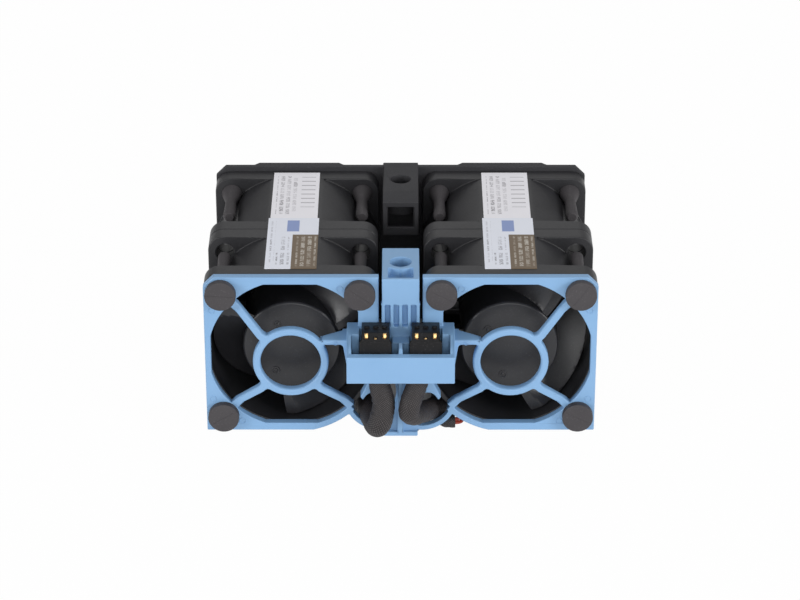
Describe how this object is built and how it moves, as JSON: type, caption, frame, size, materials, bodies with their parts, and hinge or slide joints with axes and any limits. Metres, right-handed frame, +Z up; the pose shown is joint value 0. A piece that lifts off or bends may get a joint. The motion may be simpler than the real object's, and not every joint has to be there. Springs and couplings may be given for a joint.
{
  "type": "server fan module",
  "caption": "Hot-swap server cooling fan module: counter-rotating fan pairs side by side in a clip-on plastic bracket with finger guards and connectors.",
  "frame": {"origin": "on the base plane under the foot, in the middle of the width, at the front plate's front face", "axes": "+X to the right seen from the front, +Y backwards along the fans' axes, +Z up"},
  "size_m": [0.0908, 0.0716, 0.0424],
  "materials": {
    "blue_plastic": "satin moulded",
    "fan_plastic": "satin moulded",
    "bracket_black": "satin moulded",
    "black_plastic": "matt moulded",
    "rubber": "matt",
    "sleeve": "braided",
    "gold": "plated",
    "steel": "drawn",
    "laminated_steel": "stamped sheets",
    "copper": "enamelled wire",
    "magnet": "bonded ferrite",
    "board": "lacquered",
    "label": "printed film"
  },
  "bodies": {
    "frame": {"front_bracket": "blue_plastic", "rear_bracket": "bracket_black", "connector_left": "black_plastic", "contacts_left": "gold", "lead_left": "sleeve", "housing_front_left": "fan_plastic", "bearings_front_left": "steel", "core_front_left": "laminated_steel", "coils_front_left": "copper", "board_front_left": "board", "isolators_front_left": "rubber", "label_front_left": "label", "housing_rear_left": "fan_plastic", "bearings_rear_left": "steel", "core_rear_left": "laminated_steel", "coils_rear_left": "copper", "board_rear_left": "board", "isolators_rear_left": "rubber", "label_rear_left": "label", "connector_right": "black_plastic", "contacts_right": "gold", "lead_right": "sleeve", "housing_front_right": "fan_plastic", "bearings_front_right": "steel", "core_front_right": "laminated_steel", "coils_front_right": "copper", "board_front_right": "board", "isolators_front_right": "rubber", "label_front_right": "label", "housing_rear_right": "fan_plastic", "bearings_rear_right": "steel", "core_rear_right": "laminated_steel", "coils_rear_right": "copper", "board_rear_right": "board", "isolators_rear_right": "rubber", "label_rear_right": "label"},
    "rotor_front_left": {"impeller_front_left": "fan_plastic", "yoke_front_left": "steel", "magnet_front_left": "magnet", "shaft_front_left": "steel", "clip_front_left": "steel"},
    "rotor_rear_left": {"impeller_rear_left": "fan_plastic", "yoke_rear_left": "steel", "magnet_rear_left": "magnet", "shaft_rear_left": "steel", "clip_rear_left": "steel"},
    "rotor_front_right": {"impeller_front_right": "fan_plastic", "yoke_front_right": "steel", "magnet_front_right": "magnet", "shaft_front_right": "steel", "clip_front_right": "steel"},
    "rotor_rear_right": {"impeller_rear_right": "fan_plastic", "yoke_rear_right": "steel", "magnet_rear_right": "magnet", "shaft_rear_right": "steel", "clip_rear_right": "steel"}
  },
  "joints": [
    {"name": "spin_front_left", "type": "hinge", "parent": "frame", "child": "rotor_front_left", "pos_m": [-0.0254, 0.012, 0.0212], "axis": [0, 1, 0], "continuous": true},
    {"name": "spin_rear_left", "type": "hinge", "parent": "frame", "child": "rotor_rear_left", "pos_m": [-0.0254, 0.043, 0.0212], "axis": [0, 1, 0], "continuous": true},
    {"name": "spin_front_right", "type": "hinge", "parent": "frame", "child": "rotor_front_right", "pos_m": [0.0254, 0.012, 0.0212], "axis": [0, 1, 0], "continuous": true},
    {"name": "spin_rear_right", "type": "hinge", "parent": "frame", "child": "rotor_rear_right", "pos_m": [0.0254, 0.043, 0.0212], "axis": [0, 1, 0], "continuous": true}
  ]
}
